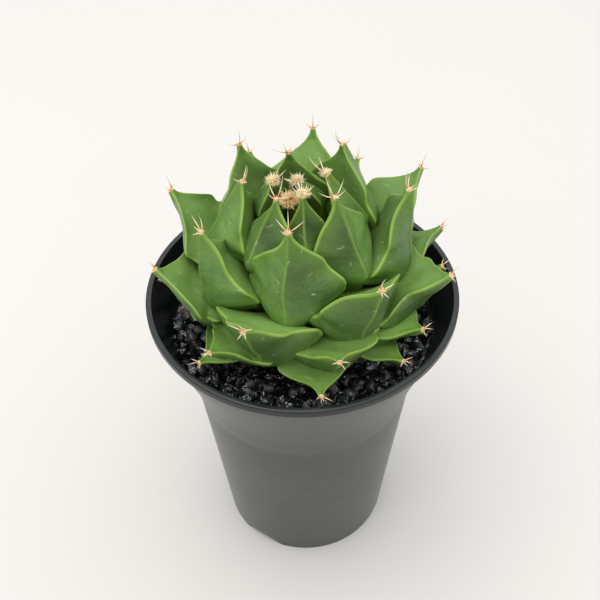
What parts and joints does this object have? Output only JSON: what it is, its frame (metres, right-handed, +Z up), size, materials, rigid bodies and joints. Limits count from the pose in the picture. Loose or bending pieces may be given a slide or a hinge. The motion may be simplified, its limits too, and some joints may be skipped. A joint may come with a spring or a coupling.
{
  "type": "potted rosette cactus",
  "caption": "Small round cactus whose keeled, leaf-like tubercles spiral into an open rosette, rooted in black grit in a flared nursery pot that stands on a notched foot ring.",
  "frame": {"origin": "centre of the foot ring, on the surface the pot stands on", "axes": "+Z up along the pot's axis, -Y towards the front of the pot as it is usually viewed, +X to the viewer's right"},
  "size_m": [0.075, 0.075, 0.1208],
  "materials": {
    "pot": "matte grey-black moulded plastic, satin on the lip",
    "potting_mix": "loose, damp and dull",
    "grit_layer": "glossy crushed black stone",
    "stem": "dull, corky towards the root",
    "tubercle": "satin green flesh with paler yellow-green edges and pale brown spines",
    "crown_wool": "matted cream wool"
  },
  "bodies": {
    "root": {"pot": "pot", "potting_mix": "potting_mix", "grit_layer": "grit_layer", "stem": "stem", "crown_wool": "crown_wool", "tubercle_01": "tubercle", "tubercle_02": "tubercle", "tubercle_03": "tubercle", "tubercle_04": "tubercle", "tubercle_05": "tubercle", "tubercle_06": "tubercle", "tubercle_07": "tubercle", "tubercle_08": "tubercle", "tubercle_09": "tubercle", "tubercle_10": "tubercle", "tubercle_11": "tubercle", "tubercle_12": "tubercle", "tubercle_13": "tubercle", "tubercle_14": "tubercle", "tubercle_15": "tubercle", "tubercle_16": "tubercle", "tubercle_17": "tubercle", "tubercle_18": "tubercle", "tubercle_19": "tubercle", "tubercle_20": "tubercle", "tubercle_21": "tubercle", "tubercle_22": "tubercle", "tubercle_23": "tubercle", "tubercle_24": "tubercle", "tubercle_25": "tubercle", "tubercle_26": "tubercle", "tubercle_27": "tubercle", "tubercle_28": "tubercle", "tubercle_29": "tubercle", "tubercle_30": "tubercle", "tubercle_31": "tubercle", "tubercle_32": "tubercle", "tubercle_33": "tubercle", "tubercle_34": "tubercle", "tubercle_35": "tubercle", "tubercle_36": "tubercle", "tubercle_37": "tubercle"}
  },
  "joints": []
}
